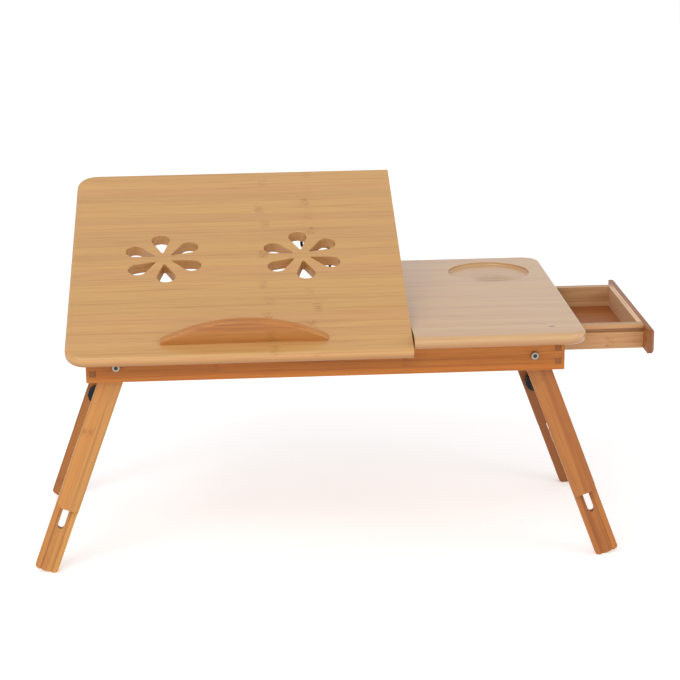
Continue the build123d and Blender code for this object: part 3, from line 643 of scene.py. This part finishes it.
# %% [markdown]
# ## The drawer
#
# The drawer's sides, its floor and its runners have the grain along the stand; its two end walls and the
# outer plate have it from front to back. The plate and the floor are darker steamed bamboo, and the end walls
# are pale. The drawer could be one material, but then its corners would vanish: the pieces are told apart by
# their grain.

# %% Dress the drawer and its runners
DRAWER_ASIDE = 0.003
DRAWER_DOWN = 0.002
SIDE_TONES = (tone(192, 146, 98), tone(182, 130, 80), tone(126, 76, 38))
END_TONES = (tone(222, 182, 144), tone(214, 168, 128), tone(164, 112, 70))
PLATE_TONES = (tone(154, 92, 32), tone(142, 80, 26), tone(96, 46, 12))
BASE_TONES = (tone(160, 90, 30), tone(148, 78, 24), tone(104, 52, 14))
DRAWER = {
    "drawer_plate": (PLATE_TONES, CROSSWISE, 200.0), "drawer_floor": (BASE_TONES, LENGTHWISE, 258.0),
    "drawer_front_wall": (END_TONES, CROSSWISE, 209.0), "drawer_back_wall": (END_TONES, CROSSWISE, 218.0),
    "drawer_side_front": (SIDE_TONES, LENGTHWISE, 240.0), "drawer_side_back": (SIDE_TONES, LENGTHWISE, 249.0),
    "runner_front": (SIDE_TONES, LENGTHWISE, 258.0), "runner_back": (SIDE_TONES, LENGTHWISE, 267.0),
}

for node, (tones, turned, seed) in DRAWER.items():
    origin = middle_below(node, DRAWER_ASIDE, DRAWER_DOWN)
    dress(bamboo("bamboo_" + node, tones, origin, turned, seed, width=0.016, ply=0.0155), node)
dress(bpy.data.materials["bamboo_drawer_floor"], "drawer_dowels")

# %% [markdown]
# ## Zinc
#
# Bolts, nuts, washers and screws are plated with bright zinc, which is never quite even: a fine mottle
# changes its tone and its roughness. The hinge leaves are pressed from plated sheet, with faint rolling
# lines. A smooth grey metal would do from far away, but close up it looks like chrome.
#
# The leg bolts' hexagon sockets get painted shade, dark because little light reaches into them. The four bolts
# mirror each other across the stand's middle, so one distance, measured from that middle on either side, finds
# them all.

# %% Plate the bolts, screws and hinges
MOTTLES_PER_METRE = 500.0
GRAINS_PER_METRE = 2600.0
MOTTLE_BASE = 0.86
MOTTLE_DEPTH = 0.2
MOTTLE_DULL = 0.16
MOTTLE_RISE = 0.6
GRAIN_RISE = 0.4
ZINC_RELIEF = 0.00004
ZINC_STRENGTH = 0.4
SOCKET_RADIUS = 0.0022
SOCKET_FLOOR = 0.8 * SOCKET_RADIUS
SOCKET_SHADE_DEPTH = 0.9
SOCKET_SHADE_TONE = tone(44, 38, 32)
bolt = Vector(joints["fold_front_left"]["pos_m"])
stand_middle = (bolt.x + joints["fold_front_right"]["pos_m"][0]) / 2


def paint_socket_shade(graph, colour, x, z):
    """Paints shade on what lies within a socket's radius of a leg bolt's axis, where little light reaches."""
    aside = abs(x - stand_middle) - (stand_middle - bolt.x)
    apart = graph.distance(aside, z - bolt.z)
    return graph.mix(graph.ramp(apart, SOCKET_RADIUS, SOCKET_FLOOR) * SOCKET_SHADE_DEPTH, colour, SOCKET_SHADE_TONE)


def zinc(name, colour, roughness, lines=1.0, sockets=False):
    """Plated steel, mottled by noise. Lines above one squeeze the mottle into lines along X."""
    graph = Graph(name, Metallic=1.0)
    x, y, z = graph.read("Object")
    fast = MOTTLES_PER_METRE * lines
    mottle = graph.noise(graph.vector(x * MOTTLES_PER_METRE, y * fast, z * fast), detail=3.0)
    specks = graph.vector(x * GRAINS_PER_METRE, y * GRAINS_PER_METRE, z * GRAINS_PER_METRE)
    fine = graph.noise(specks, detail=1.0)
    colour = graph.shaded(colour, MOTTLE_BASE + MOTTLE_DEPTH * mottle)
    # Painted shade inside the leg bolts' hexagon sockets.
    if sockets:
        colour = paint_socket_shade(graph, colour, x, z)
    height = mottle * MOTTLE_RISE + fine * GRAIN_RISE
    return graph.finish(colour, roughness + MOTTLE_DULL * mottle, height, ZINC_RELIEF, ZINC_STRENGTH)


bolt_zinc = zinc("zinc_steel", tone(158, 151, 138), roughness=0.2, sockets=True)
leaf_zinc = zinc("hinge_steel", tone(200, 199, 193), roughness=0.3, lines=4.0)
dress(bolt_zinc, "pivot_bolts", "pivot_washers", "pivot_nuts", "hinge_rail_screws", "hinge_panel_screws",
      "stay_clip_screws",
      *[f"clamp_{kind}_{row}_{side}" for kind in ("stud", "washer") for row, side in corners])
dress(leaf_zinc, "hinge_pins", "stay_clip_left", "stay_clip_right",
      *[f"hinge_{leaf}_leaf_{side}" for leaf in ("rail", "panel") for side in ("left", "right")])

# %% [markdown]
# ## Black plastic and coated wire
#
# The knobs are moulded black plastic and the stay is steel wire with a black coat. Nothing real is fully
# black, so both have a very dark grey, which slow noise makes uneven as if from handling. A fine grain breaks
# up their highlights, and a low specular level keeps the plastic from looking wet.

# %% Blacken the knobs and the stay
WEAR_PER_METRE = 90.0
WEAR_BASE = 0.8
WEAR_DEPTH = 0.5
WEAR_DULL = 0.12
COOL = 1.05
GRAIN_STRENGTH = 0.6


def black(name, level, roughness, grain_size, relief):
    """A black finish with a grain of a given size, slightly cool in colour. Level is the light it returns."""
    graph = Graph(name, Specular_IOR_Level=0.25)
    x, y, z = graph.read("Object")
    texture = graph.noise(graph.vector(x / grain_size, y / grain_size, z / grain_size), detail=2.0)
    handled = graph.vector(x * WEAR_PER_METRE, y * WEAR_PER_METRE, z * WEAR_PER_METRE)
    worn = graph.noise(handled, detail=2.0)
    shade = level * (WEAR_BASE + WEAR_DEPTH * worn)
    colour = graph.vector(shade, shade, shade * COOL)
    return graph.finish(colour, roughness + WEAR_DULL * worn, texture, relief, GRAIN_STRENGTH)


knob_black = black("black_plastic", level=0.008, roughness=0.42, grain_size=0.0005, relief=0.00006)
wire_black = black("black_wire", level=0.006, roughness=0.34, grain_size=0.0008, relief=0.00004)
dress(knob_black, *[f"clamp_knob_{row}_{side}" for row, side in corners])
dress(wire_black, "stay")

# %% [markdown]
# ## Soft edges
#
# A sawn board is sanded, and its edges catch a thin line of light. The edges could be cut back in CAD, but
# half a millimetre is a finish and not a form, so modifiers do it and the CAD meshes stay as they are. Those
# meshes are loose triangles: Weld joins them, a planar Decimate turns each flat face back into one polygon,
# Bevel rounds what is sharp, and Edge Split keeps sharp corners crisp. The tops, the ledge, the legs and the
# turned pieces have their rounds from CAD and are only joined and split.

# %% Finish the edges with modifiers
SANDED = 0.0005
SANDED_STEPS = 2
WELD_GAP = 1e-6
FLAT_ANGLE = math.radians(0.5)
SANDED_ANGLE = math.radians(50)
CREASE_ANGLE = math.radians(32)
BOARDS = ("front_rail", "back_rail", "left_rail", "right_rail", "centre_rail", "rack_board", "drawer_plate",
          "drawer_front_wall", "drawer_back_wall", "drawer_side_front", "drawer_side_back")


def sand(solid):
    """Adds the modifiers that make whole flat faces and round the edges between them."""
    flat = solid.modifiers.new("flat", "DECIMATE")
    flat.decimate_type = "DISSOLVE"
    flat.angle_limit = FLAT_ANGLE
    edge = solid.modifiers.new("edge", "BEVEL")
    edge.width = SANDED
    edge.segments = SANDED_STEPS
    edge.limit_method = "ANGLE"
    edge.angle_limit = SANDED_ANGLE
    edge.harden_normals = True


def finish_edges(solid, sawn):
    """Shades a solid smoothly up to its creases, and sands it if it is a sawn board."""
    faces = solid.data.polygons
    faces.foreach_set("use_smooth", np.ones(len(faces), bool))
    solid.modifiers.new("join", "WELD").merge_threshold = WELD_GAP
    if sawn:
        sand(solid)
    solid.modifiers.new("crease", "EDGE_SPLIT").split_angle = CREASE_ANGLE


for name, solid in nodes.items():
    finish_edges(solid, name in BOARDS)
print("edges finished on", len(nodes), "pieces,", len(BOARDS), "of them sanded")

# %% [markdown]
# ## Floor
#
# The stand is photographed on white, without a horizon. The floor is a wide pale sheet, and a little light of
# its own takes it to white; a stronger lamp could do that too, but it would burn out the wood. The floor
# belongs to the stage and not to the stand.

# %% Lay the floor
FLOOR_HALF = 18.0
FLOOR_GREY = (0.90, 0.90, 0.90, 1.0)
WHITE = (1.0, 1.0, 1.0, 1.0)
sides = np.array([[-1, -1, 0], [1, -1, 0], [1, 1, 0], [-1, 1, 0]], float) * FLOOR_HALF
sheet = bpy.data.meshes.new("floor")
sheet.from_pydata(sides.tolist(), [], [(0, 1, 2, 3)])
floor = bpy.data.objects.new("floor", sheet)
bpy.context.scene.collection.objects.link(floor)
paint = Graph("floor_paint", Base_Color=FLOOR_GREY, Roughness=0.9, Emission_Color=WHITE,
              Emission_Strength=0.30)
floor.data.materials.append(paint.material)
print("floor", 2 * FLOOR_HALF, "m wide")

# %% [markdown]
# ## Light
#
# The shadows are faint and wide, so most of the light comes from an even sky. One broad soft lamp above, in
# front and to the left shapes the pieces, and a weaker one on the right opens the shadows inside the drawer.
# The Standard view transform shows a white floor as white, where the filmic ones would turn it grey.

# %% Hang the lamps and set the sky
STAND_HEART = (0.27, 0.15, 0.2)
SKY_TONE = (0.95, 0.95, 0.96, 1.0)
SKY_STRENGTH = 0.80


def soft_light(name, place, size, power):
    """A square lamp at a place, its size in metres and its power in watts, turned to look at the stand."""
    data = bpy.data.lights.new(name, "AREA")
    data.shape = "SQUARE"
    data.size = size
    data.energy = power
    light = bpy.data.objects.new(name, data)
    light.location = desk(*place)
    light.rotation_euler = (desk(*STAND_HEART) - light.location).to_track_quat("-Z", "Y").to_euler()
    bpy.context.scene.collection.objects.link(light)
    print(name, power, "W,", round((light.location - desk(*STAND_HEART)).length, 2), "m from the stand")


soft_light("key", place=(-0.9, -2.2, 2.4), size=2.0, power=46.0)
soft_light("fill", place=(2.6, -1.2, 1.5), size=1.6, power=12.0)
world = bpy.data.worlds.new("sky")
world.use_nodes = True
sky = world.node_tree.nodes["Background"]
sky.inputs["Color"].default_value = SKY_TONE
sky.inputs["Strength"].default_value = SKY_STRENGTH
bpy.context.scene.world = world
bpy.context.scene.view_settings.view_transform = "Standard"
